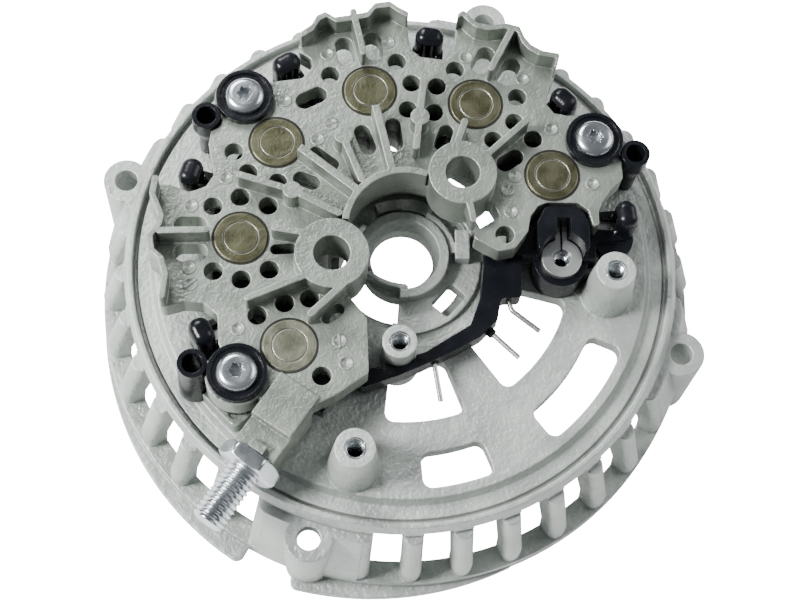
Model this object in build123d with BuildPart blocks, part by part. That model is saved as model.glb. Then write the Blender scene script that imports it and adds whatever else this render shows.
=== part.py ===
# Rear bracket of an alternator with its twin three-phase rectifier, in millimetres.
# Z is the rotor axis, the front rim lies on z = 0 and the open side faces down.
# Seen from the rear face, X is to the right and Y is up.

from build123d import *
from math import asin, atan2, cos, degrees, hypot, radians, sin, tan
import os

os.makedirs("parts", exist_ok=True)

# Levels and thicknesses along the rotor axis
band_height = 5.0
ear_height = 25.0
plate_top = 29.2
plate_thickness = 4.0
lower_sink_thickness = 5.0
carrier_thickness = 4.3
upper_sink_thickness = 6.0
fin_height = 5.5
slack = 0.1

plate_bottom = plate_top - plate_thickness
lower_sink_top = plate_top + lower_sink_thickness
carrier_top = lower_sink_top + carrier_thickness
upper_sink_top = carrier_top + upper_sink_thickness
fin_top = upper_sink_top + fin_height

# Rear bracket, radii about the rotor axis
plate_radius = 58.4
land_width = 1.2
land_drop = 2.0
groove_start = 3.0
groove_depth = 0.9
groove_slope = 0.4
bead_start = 2.4
bead_width = 1.1
bead_slope = 0.3
bead_drop = 0.5
shoulder_width = 1.2
shoulder_drop = 2.8
pad_width = 2.1
rib_spread = 4.3
rib_foot_rise = 5.0
band_lip = 0.2
band_wall = 5.4
wall_draft = 0.6
wall_draft_rise = 6.0
skin = 4.0
skin_rise = 1.0

land_radius = plate_radius + land_width
groove_radius = land_radius + groove_start
bead_radius = groove_radius + bead_start
shoulder_radius = bead_radius + shoulder_width
pad_radius = shoulder_radius + pad_width
rib_foot_radius = pad_radius + rib_spread
band_radius = rib_foot_radius + band_lip
band_bore = band_radius - band_wall

# Air windows and ribs of the side wall
ear_angles = (72.5, 162.5, 252.5, 342.5)
window_pitch = 10.0
window_width = 6.0
windows_per_side = 7
first_window = 15.0
window_notch = 0.3
window_inset = 7.4
window_outset = 7.2
window_roof_drop = 2.0
window_roof_rise = 0.8
rib_trim = 0.2
mouth_overlap = 1.0
window_top_radius = shoulder_radius - window_notch
window_start = band_bore - window_inset

# Ears for the through bolts
ear_offset = 1.7
ear_circle = pad_radius + ear_offset
ear_radius = 5.5
ear_hole = 2.7
ear_thickness = 3.5
ear_channel = 8.0
ear_channel_length = 12.0

# Outward flanges of the front band, as radius and angle of three points on each rim
flanges = (
    ((73.0, -172.0), (75.2, -146.0), (77.3, -119.0)),
    ((77.6, -109.5), (75.3, -90.0), (73.0, -68.0)),
)
flange_thickness = 2.2
flange_corner = 2.0

# Windows in the end plate, as inner radius, outer radius, first angle and last angle
plate_windows = (
    (47.7, 56.1, -85.0, -67.5),
    (47.7, 56.1, -51.5, -22.5),
    (24.0, 40.2, -53.0, -14.0),
    (26.5, 40.2, -96.0, -68.5),
    (20.6, 36.0, 18.0, 66.0),
    (25.5, 36.0, 72.0, 118.0),
    (25.5, 36.0, 132.0, 178.0),
    (25.5, 36.0, 192.0, 222.0),
)
window_corner = 2.2

# Bearing seat and hub
bore_radius = 7.5
collar_radius = 10.9
collar_mouth = 8.7
collar_rise = 3.7
collar_first = -83.0
collar_last = 200.0
hub_radius = 18.8
hub_step = (18.8, 21.5, -93.0, 0.0)
hub_step_drop = 1.2
seat_radius = 15.0
seat_wall = 3.5
seat_depth = 14.0
pocket = (10.9, 17.8, 12.0, 262.0)
pocket_depth = 2.4
hub_opening = (10.0, 16.1, -150.0, -94.0)
hub_slots = ((10.95, -10.0, 7.1, 5.2, 50.0), (-9.6, 8.4, 3.5, 1.8, 48.0), (-15.0, -1.0, 5.0, 3.6, 95.0))
hub_slot_corner = 0.8

# Low walls round the hub, as inner radius, outer radius, first angle, last angle and rise above the plate
hub_walls = ((11.2, 12.8, 5.0, 62.0, 2.8), (12.6, 15.2, 91.0, 116.0, 1.2), (12.6, 15.6, 60.0, 91.5, 0.7))
hub_tab = (14.1, 2.85, 3.4, 7.3)
hub_strip = ((-8.3, -4.6), (-4.6, -6.9), (0.9, -8.1))
hub_strip_wall = 1.1
hub_rib = (0.25, -9.4, 1.9, 3.0)

# Bosses that carry the cover
cover_bosses = ((-11.2, -51.0), (48.5, -7.8))
cover_boss_top = 15.5
cover_boss_foot = 6.1
cover_boss_head = 4.6
cover_thread = 2.1
inner_post = (-1.2, -25.0)
inner_post_radius = 4.0
inner_post_top = 12.8
inner_post_pad = 5.2
inner_post_thread = 2.0

# Fixing screws of the rectifier
screw_circle = 50.9
screw_angles = (138.1, 29.2, 222.4)
screw_radius = 2.5
screw_head_radius = 4.75
screw_head_height = 2.3
screw_head_dome = 1.84
socket_radius = 1.5
socket_lobes = 6
socket_lobe = 0.42
socket_lobe_circle = 1.45
socket_depth = 1.6
screw_boss = 5.2
screw_boss_depth = 5.0
screw_lobe = 7.2
carrier_lobe = 6.3
lower_lobe = 5.8

# Insulating bush with its cup, one round each screw
bush_sleeve = 3.9
bush_bore = 2.65
cup_radius = 6.75
cup_floor = 0.8
cup_wall = 0.85
cup_height = 1.8
cup_step = 1.3

# One row for each stator lead: angle of its clip, of its negative and of its positive diode
phases = (
    (6.9, 11.0, 24.8),
    (43.3, 43.3, 64.0),
    (83.6, 83.6, 103.0),
    (123.1, 123.1, 142.9),
    (163.5, 163.5, 182.3),
    (208.1, 204.6, 226.3),
)

# Press-fit diodes, positive ones in the upper heat sink and negative ones in the lower
diode_circle = 37.85
diode_radius = 6.35
diode_fit = 0.05
diode_stand = 0.3
diode_chamfer = 0.4
diode_ring = 4.1
diode_ring_width = 0.25
resin_radius = 3.6
resin_taper = 30.0
resin_height = 0.9
lead_radius = 0.65
lead_length = 2.6

# Stator terminals, one pair of blades under a moulded hood for each stator lead
clip_circle = 52.0
hood_width = 6.8
hood_depth = 5.2
hood_corner = 2.4
hood_rise = 2.0
hood_dome = 2.2
hood_roof = 1.6
niche_width = 3.2
niche_depth = 3.8
blade_thickness = 0.6
blade_offset = 0.95
blade_inner = -1.4
blade_outer = 1.1
blade_drop = 0.2
strip_thickness = 0.8
strip_width = 3.0
strip_level = 1.4
strip_start = 51.6
clip_seat = 3.8
clip_clearance = 0.6

# Moulded carrier between the heat sinks
carrier_inner = 25.0
carrier_outer = 45.0
carrier_first = -4.0
carrier_last = 246.0
lead_window = 4.2
web_root = 3.0
web_short = 1.0
post_clearance = 0.3
arm_level = 2.0
arm_height = 5.0
arm_outline = (
    (28.0, 1.5), (27.5, -11.6), (22.7, -11.8), (21.8, -17.2), (17.8, -21.4), (12.0, -24.8), (3.9, -28.9),
    (-1.2, -31.2), (-9.2, -34.2), (-13.5, -31.0), (-6.5, -29.4), (5.0, -25.5), (15.5, -18.6), (18.0, -11.4),
    (19.2, 1.5),
)
sleeve_turns = (210.0, -18.8, 168.3)
sleeve_gap = 0.1
sleeve_clearance = 0.35
sleeve_radius = 3.4
sleeve_foot = 4.0
sleeve_bore = 2.3
funnel_height = 4.6
funnel_cone = 4.6
funnel_stem = 2.2
funnel_bore = 5.2
sleeve_top = 1.2
sleeve_web = 2.4

# Terminal block on the carrier and the ring terminal that it holds
ring_place = (36.8, -2.7)
ring_radius = 4.7
ring_hole = 2.2
ring_thickness = 1.5
ring_level = 8.3
ring_tail = 2.9
ring_slit = 0.4
ring_end = 7.0
block_body = 6.4
block_lift = 0.2
block_relief = (-1.0, 30.0)
block_outline = (
    (30.8, -2.7), (42.8, -2.7), (42.8, 4.0), (41.6, 6.9), (39.9, 8.3), (33.0, 8.3), (32.3, 7.6), (30.6, 4.0),
)
block_mouth = 4.9
block_slot = 3.3
block_slot_end = 5.5
block_top = 14.7
side_seat = (49.3, 3.0)
side_seat_radius = 4.8
side_seat_height = 3.3
side_seat_turn = 5.0
insert_radius = 2.5
insert_bore = 1.7
insert_depth = 3.0

# Signal pins that leave the arm, as a path in plan
pin_radius = 0.6
pin_paths = (
    ((7.0, -26.6), (8.6, -36.4)),
    ((19.6, -18.8), (26.8, -25.6)),
    ((24.0, -9.5), (25.4, -14.0), (31.8, -19.0)),
)
pin_level = 2.4
pin_bend = 2.0
pin_root = 2.6

# Output stud and the block that carries it
stud_angle = -124.0
stud_offset = 1.0
stud_level = 37.6
stud_radius = 4.0
stud_reach = 79.4
stud_chamfer = 0.8
nut_width = 13.0
nut_thickness = 3.8
block_start = 43.5
block_root = 46.4
block_step = 54.8
block_end = 61.3
block_half = 5.15
block_rise = 0.5
block_step_drop = 2.2
block_bottom = 31.4
nub = (60.2, 0.3)
nub_length = 2.0
nub_width = 4.0
nub_height = 1.8

# Upper heat sink, outline anticlockwise round the outside and back along the inside
right_edge = ((43.6, 3.3), (45.0, 3.5), (45.0, 7.0), (46.0, 9.5), (48.0, 12.5), (51.0, 15.5), (50.8, 22.0))
third_notch = ((44.5, 32.0), (39.6, 31.6), (35.4, 32.0), (33.3, 34.8), (34.3, 38.6))
right_wall = (
    (35.8, 42.2), (36.5, 45.2), (32.3, 45.9), (29.7, 47.4), (28.2, 49.3), (27.0, 52.2), (24.1, 53.0),
    (20.2, 52.4), (17.1, 53.0), (15.2, 54.5), (13.6, 56.4), (12.2, 55.2), (12.1, 52.6),
)
second_notch = ((11.4, 47.6), (9.5, 45.6), (3.5, 46.3), (1.0, 48.6))
top_wall = (
    (0.4, 55.4), (-2.0, 56.7), (-4.0, 58.2), (-7.6, 57.6), (-9.4, 55.2), (-12.9, 54.3), (-17.2, 53.5),
    (-19.4, 54.9), (-21.3, 53.9), (-22.7, 51.3), (-25.5, 49.1),
)
first_notch = ((-25.5, 47.0), (-22.5, 45.0), (-22.2, 42.8), (-24.5, 39.8), (-33.0, 38.4))
fourth_notch = ((-44.6, 32.0), (-46.0, 22.0), (-44.5, 14.2), (-46.2, 11.2), (-50.0, 9.7), (-54.5, 11.5))
left_wall = (
    (-58.2, 11.5), (-58.8, 7.0), (-57.6, 4.2), (-56.6, 1.5), (-57.0, -0.8), (-58.9, -3.6), (-58.4, -6.9),
    (-56.2, -8.8), (-55.0, -13.0), (-55.5, -19.0),
)
lower_edge = ((-50.0, -17.3), (-45.6, -17.6), (-42.4, -20.4), (-42.0, -27.0), (-38.0, -36.0))
tail_edge = ((-26.0, -44.0), (-16.0, -39.0), (-8.3, -33.5), (-8.8, -20.5), (-13.5, -14.5))
inner_edge = ((-13.0, 1.0), (4.4, 12.5), (14.0, 10.5))
nose_edge = (
    (20.4, 8.6), (22.0, 5.2), (16.6, 1.6), (15.6, -0.2), (21.5, -3.5), (25.3, -2.6), (28.3, 1.5),
    (29.0, 5.4), (30.8, 8.0), (33.0, 9.0), (40.3, 9.0), (42.6, 7.2),
)
outline_corner = 1.2
wall_thickness = 1.4
wall_inset = 0.15
wall_corner = 0.6

# Fin groups, as the angle of the middle rib and the outline points of the scalloped wall
vent_radius = 2.2
vent_circle = 10.2
vent_turns = {
    103.0: (54, -52, -90, -130),
    142.9: (52, 88, 130),
    182.3: (52, 90, 129, -52, -90, -129),
    64.0: (54, 90, 130, -52, -90, -130),
    24.8: (90,),
    226.3: (-90, -129, 90),
}
lone_vents = ((22.9, 0.6), (-21.8, -16.0))
fin_slot_circle = 49.4
fin_slot_offset = 3.4
fin_slot_length = 7.6
fin_slot_width = 4.2
fin_rib_start = 45.5
fin_rib_end = {103.0: 56.5, 182.3: 56.0, 64.0: 57.0}
fin_rib_width = 1.5

# Air slots between the inner ribs, as centre, length, width and direction. Those near the hub go right through
through_slot_circle = 30.0
air_slots = (
    (-22.3, 34.7, 7.8, 4.2, 28.0),
    (-9.5, 24.0, 8.0, 3.8, 111.0),
    (-2.8, 25.5, 8.5, 3.9, 97.0),
    (9.0, 25.0, 7.0, 3.5, 72.0),
    (-19.0, 19.0, 8.0, 3.0, 142.0),
    (-23.0, 13.2, 6.5, 3.6, 160.0),
    (24.5, 19.5, 7.0, 4.0, 35.0),
    (-28.0, -4.0, 6.0, 2.6, 185.0),
    (-16.5, -19.6, 6.0, 2.8, 40.0),
)

# Lugs for the brush holder and the arc wall between them
lugs = ((-17.0, -6.9, 8.45, 4.2), (12.9, 13.8, 7.9, 4.0))
arc_inner = 13.3
arc_outer = 14.8
arc_first = 70.0
arc_last = 174.0

# Inner ribs, as start, end and width, and the round pads on them
ribs = (
    ((-3.4, 14.0), (-7.3, 30.6), 1.8),
    ((-11.4, 8.9), (-24.6, 19.2), 1.8),
    ((2.2, 20.0), (4.1, 38.8), 1.5),
    ((18.4, 18.2), (28.0, 27.5), 1.5),
    ((11.6, 21.0), (13.5, 26.8), 1.5),
    ((-10.4, 11.5), (-15.2, 23.4), 1.6),
    ((-15.5, 3.0), (-26.2, 8.4), 1.6),
    ((-26.2, 8.4), (-38.3, 12.0), 1.5),
    ((-23.5, -2.0), (-30.0, -1.0), 1.5),
    ((-22.0, -12.0), (-35.6, -18.1), 1.5),
    ((-14.5, -14.5), (-21.4, -21.5), 1.6),
    ((14.0, 8.0), (15.2, 2.2), 1.5),
)
rib_pads = ((3.1, 27.8, 2.2), (-26.2, 8.4, 2.1), (-14.6, 22.6, 2.2))

# Lower heat sink
lower_inner = 24.5
lower_outer = 45.5
lower_first = -1.5
lower_last = 236.0
lower_tab = ((-30.0, -36.5), (-38.2, -43.6), (-46.2, -35.5), (-40.0, -28.0))
tab_mark = (-38.3, -40.2)
tab_mark_radius = 1.3
tab_mark_depth = 0.3


def polar(radius, angle):
    """Point at a radius and an angle in degrees about the rotor axis."""
    return (radius * cos(radians(angle)), radius * sin(radians(angle)))


def radial_plane(angle):
    """Upright plane through the rotor axis: X runs outwards and Y is up."""
    out = polar(1, angle)
    return Plane(origin=(0, 0, 0), x_dir=(out[0], out[1], 0), z_dir=(out[1], -out[0], 0))


def sector(inner, outer, first, last):
    """Ring sector between two radii and two angles, drawn in the sketch that is open."""
    middle = (first + last) / 2
    with BuildLine() as edge:
        ThreePointArc(polar(outer, first), polar(outer, middle), polar(outer, last))
        Line(polar(outer, last), polar(inner, last))
        ThreePointArc(polar(inner, last), polar(inner, middle), polar(inner, first))
        Line(polar(inner, first), polar(outer, first))
    return make_face(edge.edges())


def corner_radii(points, corner):
    """Radius for each corner of a closed outline, as far as its two runs allow."""
    radii = []
    for before, here, after in zip(points[-1:] + points[:-1], points, points[1:] + points[:1]):
        a = Vector(*here) - Vector(*before)
        b = Vector(*after) - Vector(*here)
        room = 0.45 * min(a.length, b.length) / tan(radians(a.get_angle(b)) / 2)
        radii.append(min(corner, room))
    return radii


def inward(points, distance):
    """Points moved towards the rotor axis by a distance."""
    return [(x * (1 - distance / hypot(x, y)), y * (1 - distance / hypot(x, y))) for x, y in points]


def soft_outline(points, corner):
    """Closed face with every corner of its outline rounded, in the sketch that is open."""
    points = list(points)
    with BuildLine() as edge:
        FilletPolyline(*points, radius=corner_radii(points, corner), close=True)
    return make_face(edge.edges())


def bar(start, end, width, mode=Mode.ADD):
    """Straight bar with round ends between two points, in the sketch that is open."""
    run = Vector(*end) - Vector(*start)
    middle = (Vector(*start) + Vector(*end)) / 2
    turn = degrees(atan2(run.Y, run.X))
    with Locations(middle):
        SlotCenterToCenter(run.length, width, rotation=turn, mode=mode)


def long_hole(place, mode=Mode.SUBTRACT):
    """Oblong hole from its centre, length, width and direction."""
    x, y, length, width, turn = place
    with Locations((x, y)):
        SlotOverall(length, width, rotation=turn, mode=mode)


def beside(place, distance, angle):
    """Point at a distance and an angle from another point."""
    step = polar(distance, angle)
    return (place[0] + step[0], place[1] + step[1])


def clip_plane(angle, level):
    """Level plane at a clip, with X outwards."""
    out = polar(1, angle)
    return Plane(origin=(*polar(clip_circle, angle), level), x_dir=(out[0], out[1], 0), z_dir=(0, 0, 1))


def strip(clip, minus, plus, width):
    """Strip of one stator terminal in plan, from its clip past both of its leads."""
    bar(polar(strip_start, clip), polar(diode_circle, minus), width)
    bar(polar(diode_circle, minus), polar(diode_circle, plus), width)


def window_mouth(outer):
    """Plan of an air window whose mouth flares round the rib ends, in the sketch that is open."""
    half = window_width / 2
    middle = window_pitch / 2
    round_end = outer * sin(radians(middle - half))
    start = outer - round_end
    near = start - mouth_overlap
    far = outer + window_outset
    with BuildLine() as edge:
        Polyline(polar(start, -half), polar(near, -half), polar(near, half), polar(start, half))
        ThreePointArc(polar(start, half), beside(polar(start, middle), round_end, middle - 45), polar(outer, middle))
        Polyline(polar(outer, middle), polar(far, middle), polar(far, -middle), polar(outer, -middle))
        ThreePointArc(polar(outer, -middle), beside(polar(start, -middle), round_end, 45 - middle),
                      polar(start, -half))
    return make_face(edge.edges())


screw_points = [polar(screw_circle, angle) for angle in screw_angles]
clip_angles = [clip for clip, minus, plus in phases]
negative_points = [polar(diode_circle, minus) for clip, minus, plus in phases]
positive_points = [polar(diode_circle, plus) for clip, minus, plus in phases]
sleeve_reach = cup_radius + sleeve_radius + sleeve_gap
sleeve_places = [beside(screw, sleeve_reach, turn) for screw, turn in zip(screw_points, sleeve_turns)]

through_slots = [slot for slot in air_slots if hypot(slot[0], slot[1]) < through_slot_circle]

# Cutter for one air window of the side wall, open outwards and upwards
with BuildPart() as window_cutter:
    with BuildSketch(radial_plane(-window_width / 2)):
        with BuildLine():
            Polyline(
                (window_start, band_height), (window_start, plate_bottom - window_roof_drop),
                (window_top_radius, plate_bottom + window_roof_rise), (window_top_radius, fin_top),
                (band_radius + window_outset, fin_top), (band_radius + window_outset, band_height), close=True,
            )
        make_face()
    revolve(axis=Axis.Z, revolution_arc=window_width)
    with BuildSketch(Plane.XY.offset(band_height + rib_foot_rise)):
        window_mouth(rib_foot_radius - rib_trim)
    extrude(amount=-rib_foot_rise)
    with BuildSketch(Plane.XY.offset(band_height + rib_foot_rise)):
        window_mouth(rib_foot_radius - rib_trim)
    with BuildSketch(Plane.XY.offset(ear_height)):
        window_mouth(pad_radius - rib_trim)
    loft(ruled=True)

# Rear bracket: one casting with end plate, side wall, ears, bearing seat and cover bosses
land_level = plate_top - land_drop
bead_level = plate_top - bead_drop
with BuildPart() as rear_bracket:
    with BuildSketch(radial_plane(0)):
        with BuildLine():
            Polyline(
                (0, plate_bottom), (0, plate_top), (plate_radius, plate_top), (land_radius, land_level),
                (groove_radius, land_level), (groove_radius + groove_slope, land_level - groove_depth),
                (bead_radius - bead_width - bead_slope, land_level - groove_depth),
                (bead_radius - bead_width, bead_level), (bead_radius, bead_level),
                (shoulder_radius, plate_top - shoulder_drop), (shoulder_radius, ear_height),
                (pad_radius, ear_height), (rib_foot_radius, band_height + rib_foot_rise),
                (band_radius, band_height), (band_radius, 0), (band_bore, 0), (band_bore, band_height),
                (band_bore - wall_draft, band_height + wall_draft_rise),
                (shoulder_radius - skin, ear_height - skin + skin_rise),
                (plate_radius, plate_bottom), close=True,
            )
        make_face()
    revolve(axis=Axis.Z)
    for rim in flanges:
        root = [polar(ear_circle, angle) for radius, angle in rim]
        with BuildSketch() as flange:
            with BuildLine() as edge:
                ThreePointArc(*[polar(*point) for point in rim])
                Line(polar(*rim[-1]), root[-1])
                ThreePointArc(*root[::-1])
                Line(root[0], polar(*rim[0]))
            make_face(edge.edges())
            fillet(flange.vertices().filter_by(lambda v: hypot(v.X, v.Y) > band_radius + flange_corner), flange_corner)
        extrude(amount=flange_thickness)
    for ear in ear_angles:
        with PolarLocations(0, windows_per_side, ear + first_window, (windows_per_side - 1) * window_pitch,
                            endpoint=True):
            add(window_cutter.part, mode=Mode.SUBTRACT)
    with BuildSketch():
        with PolarLocations(ear_circle, 4, ear_angles[0]):
            Circle(ear_radius)
    extrude(amount=ear_height)
    with BuildSketch():
        for ear in ear_angles:
            bar(polar(ear_circle - ear_channel_length, ear), polar(ear_circle, ear), ear_channel)
    extrude(amount=ear_height - ear_thickness, mode=Mode.SUBTRACT)
    with BuildSketch(Plane.XY.offset(plate_bottom)):
        Circle(seat_radius + seat_wall)
        Circle(seat_radius, mode=Mode.SUBTRACT)
    extrude(amount=-seat_depth)
    with BuildSketch(Plane.XY.offset(plate_bottom)):
        with Locations(*screw_points):
            Circle(screw_boss)
        with Locations(*cover_bosses):
            Circle(cover_boss_foot)
    extrude(amount=-screw_boss_depth)
    with BuildSketch(Plane.XY.offset(plate_top)):
        with Locations(*cover_bosses):
            Circle(cover_boss_foot)
    extrude(amount=cover_boss_top, taper=degrees(asin((cover_boss_foot - cover_boss_head) / cover_boss_top)))
    with BuildSketch(Plane.XY.offset(plate_top)):
        with Locations(inner_post):
            Circle(inner_post_radius)
    extrude(amount=inner_post_top)
    for window in plate_windows:
        with BuildSketch(Plane.XY.offset(plate_top)) as opening:
            sector(*window)
            fillet(opening.vertices(), window_corner)
            with Locations(inner_post):
                Circle(inner_post_pad, mode=Mode.SUBTRACT)
        extrude(amount=-plate_thickness, mode=Mode.SUBTRACT)
    with BuildSketch(Plane.XY.offset(plate_top)):
        sector(*pocket)
    extrude(amount=-pocket_depth, mode=Mode.SUBTRACT)
    with BuildSketch(Plane.XY.offset(plate_top)):
        sector(*hub_step)
    extrude(amount=-hub_step_drop, mode=Mode.SUBTRACT)
    with BuildSketch(Plane.XY.offset(plate_top)):
        sector(bore_radius, collar_radius, collar_first, collar_last)
    extrude(amount=collar_rise)
    for inner, outer, first, last, rise in hub_walls:
        with BuildSketch(Plane.XY.offset(plate_bottom)):
            sector(inner, outer, first, last)
        extrude(amount=plate_thickness + rise)
    with BuildSketch(Plane((hub_tab[0], hub_tab[1], plate_bottom))):
        Rectangle(*hub_tab[2:])
    extrude(amount=plate_thickness + collar_rise)
    with BuildSketch(Plane.XY.offset(plate_top + collar_rise)):
        Circle(collar_mouth)
    extrude(amount=-collar_rise, taper=degrees(atan2(collar_mouth - bore_radius, collar_rise)), mode=Mode.SUBTRACT)
    with BuildSketch(Plane.XY.offset(plate_top)):
        Circle(bore_radius)
        sector(*hub_opening)
        for x, y, length, width, turn in hub_slots:
            with Locations((x, y)):
                RectangleRounded(length, width, hub_slot_corner, rotation=turn)
    extrude(amount=-plate_thickness, mode=Mode.SUBTRACT)
    with BuildSketch(Plane((hub_rib[0], hub_rib[1], plate_bottom))):
        Rectangle(*hub_rib[2:])
    extrude(amount=plate_thickness + collar_rise)
    with BuildSketch(Plane.XY.offset(plate_bottom)):
        strip_outside = inward(hub_strip, -hub_strip_wall / 2)
        strip_inside = inward(hub_strip, hub_strip_wall / 2)[::-1]
        with BuildLine():
            ThreePointArc(*strip_outside)
            Line(strip_outside[-1], strip_inside[0])
            ThreePointArc(*strip_inside)
            Line(strip_inside[-1], strip_outside[0])
        make_face()
    extrude(amount=plate_thickness + collar_rise)
    with Locations(*[(x, y, plate_top + cover_boss_top) for x, y in cover_bosses]):
        Hole(cover_thread, depth=cover_boss_top + plate_thickness)
    with Locations((*inner_post, plate_top + inner_post_top)):
        Hole(inner_post_thread, depth=inner_post_top)
    with Locations(*[(x, y, plate_top) for x, y in screw_points]):
        Hole(screw_radius, depth=plate_thickness + screw_boss_depth)
    with Locations(*[(*polar(ear_circle, ear), ear_height) for ear in ear_angles]):
        Hole(ear_hole, depth=ear_height)
rear_bracket.part.label = "rear_bracket"
export_step(rear_bracket.part, "parts/rear_bracket.step")

# Lower heat sink, which holds the negative diodes and lies on the end plate
with BuildPart() as negative_heat_sink:
    with BuildSketch(Plane.XY.offset(plate_top)):
        sector(lower_inner, lower_outer, lower_first, lower_last)
        with Locations(*screw_points):
            Circle(lower_lobe)
        soft_outline(lower_tab, outline_corner)
        with Locations(*sleeve_places):
            Circle(sleeve_foot + slack, mode=Mode.SUBTRACT)
        for slot in through_slots:
            long_hole(slot)
        with Locations(*negative_points):
            Circle(diode_radius + diode_fit, mode=Mode.SUBTRACT)
        with Locations(*screw_points):
            Circle(screw_radius + slack, mode=Mode.SUBTRACT)
        with Locations(*positive_points):
            Circle(vent_radius, mode=Mode.SUBTRACT)
    extrude(amount=lower_sink_thickness)
    with BuildSketch(Plane.XY.offset(lower_sink_top)):
        with Locations(tab_mark):
            Circle(tab_mark_radius)
    extrude(amount=-tab_mark_depth, mode=Mode.SUBTRACT)
negative_heat_sink.part.label = "negative_heat_sink"
export_step(negative_heat_sink.part, "parts/negative_heat_sink.step")

# Moulded carrier: the ring between the heat sinks, its arm, lead sleeves and terminal block
arm_bottom = plate_top + arm_level
strip_bottom = lower_sink_top + strip_level
hood_top = upper_sink_top + hood_rise
niche_centre = (niche_depth - hood_depth) / 2
with BuildPart() as terminal_carrier:
    with BuildSketch(Plane.XY.offset(lower_sink_top)):
        sector(carrier_inner, carrier_outer, carrier_first, carrier_last)
        with Locations(*screw_points):
            Circle(carrier_lobe)
        for angle in clip_angles:
            bar(polar(carrier_outer - web_root, angle), polar(clip_circle - web_short, angle), 2 * clip_seat)
        for place, screw in zip(sleeve_places, screw_points):
            bar(place, screw, sleeve_web)
        with Locations(*screw_points):
            Circle(bush_sleeve + slack, mode=Mode.SUBTRACT)
        for slot in through_slots:
            long_hole(slot)
    extrude(amount=carrier_thickness)
    for angle in clip_angles:
        with BuildSketch(clip_plane(angle, lower_sink_top)):
            RectangleRounded(hood_depth, hood_width, hood_corner)
        extrude(amount=hood_top - lower_sink_top)
    fillet(terminal_carrier.edges().group_by(Axis.Z)[-1], hood_dome)
    with BuildSketch(Plane.XY.offset(lower_sink_top)):
        with Locations(side_seat):
            Circle(side_seat_radius)
        bar(side_seat, polar(carrier_outer - web_root, side_seat_turn), side_seat_radius)
    extrude(amount=side_seat_height)
    with BuildSketch(Plane.XY.offset(arm_bottom)):
        soft_outline(arm_outline, outline_corner)
        with Locations(inner_post):
            Circle(inner_post_radius + post_clearance, mode=Mode.SUBTRACT)
    extrude(amount=arm_height)
    sleeve_rim = upper_sink_top + sleeve_top
    cone_top = sleeve_rim - funnel_height
    funnel = (
        (0, plate_top), (0, sleeve_rim), (sleeve_radius, sleeve_rim), (sleeve_radius, cone_top),
        (funnel_stem, cone_top - funnel_cone), (funnel_stem, plate_top),
    )
    column = ((0, plate_top), (0, sleeve_rim), (sleeve_radius, sleeve_rim), (sleeve_foot, plate_top))
    for (x, y), profile in zip(sleeve_places, (funnel, funnel, column)):
        with BuildSketch(Plane(origin=(x, y, 0), x_dir=(1, 0, 0), z_dir=(0, -1, 0))):
            with BuildLine():
                Polyline(*profile, close=True)
            make_face()
        revolve(axis=Axis((x, y, 0), (0, 0, 1)))
    for place, depth in zip(sleeve_places, (funnel_bore, funnel_bore, sleeve_rim - plate_top)):
        with Locations((*place, sleeve_rim)):
            Hole(sleeve_bore, depth=depth)
    with BuildSketch(Plane.XY.offset(plate_top + block_lift)):
        with Locations(ring_place):
            Circle(block_body)
    extrude(amount=ring_level - block_lift)
    with BuildSketch(Plane.XY.offset(lower_sink_top)):
        soft_outline(block_outline, outline_corner)
    extrude(amount=plate_top + block_top - lower_sink_top)
    with BuildSketch(Plane.XY.offset(plate_top)):
        sector(lower_inner - clip_clearance, screw_circle, *(lower_first + turn for turn in block_relief))
    extrude(amount=lower_sink_thickness, mode=Mode.SUBTRACT)
    with BuildSketch(Plane.XY.offset(plate_top + ring_level)):
        with Locations(ring_place):
            Circle(insert_radius + slack / 2)
    extrude(amount=-insert_depth, mode=Mode.SUBTRACT)
    with BuildSketch(Plane.XY.offset(plate_top + ring_level)):
        with Locations(ring_place):
            Circle(block_mouth)
        with Locations((ring_place[0], (ring_place[1] + block_slot_end) / 2)):
            Rectangle(block_slot, block_slot_end - ring_place[1])
    extrude(amount=block_top - ring_level, mode=Mode.SUBTRACT)
    with BuildSketch(Plane.XY.offset(plate_top + ring_level)):
        with Locations((ring_place[0], (ring_place[1] + ring_end + slack) / 2)):
            Rectangle(ring_tail + 2 * slack, ring_end + slack - ring_place[1])
    extrude(amount=ring_thickness + slack, mode=Mode.SUBTRACT)
    with BuildSketch(Plane.XY.offset(lower_sink_top)):
        with Locations(*positive_points, *negative_points):
            Circle(lead_window)
    extrude(amount=carrier_thickness, mode=Mode.SUBTRACT)
    with BuildSketch(Plane.XY.offset(strip_bottom)):
        for phase in phases:
            strip(*phase, strip_width + 2 * slack)
    extrude(amount=carrier_top - strip_bottom, mode=Mode.SUBTRACT)
    for angle in clip_angles:
        with BuildSketch(clip_plane(angle, strip_bottom)):
            with Locations((niche_centre, 0)):
                Rectangle(niche_depth, niche_width)
        extrude(amount=hood_top - hood_roof - strip_bottom, mode=Mode.SUBTRACT)
    for path in pin_paths:
        start = Vector(*path[0], arm_bottom + pin_level)
        with BuildSketch(Plane(origin=start, z_dir=Vector(*path[1], arm_bottom + pin_level) - start)):
            Circle(pin_radius + slack / 2)
        extrude(amount=pin_root, mode=Mode.SUBTRACT)
terminal_carrier.part.label = "terminal_carrier"
export_step(terminal_carrier.part, "parts/terminal_carrier.step")

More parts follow.
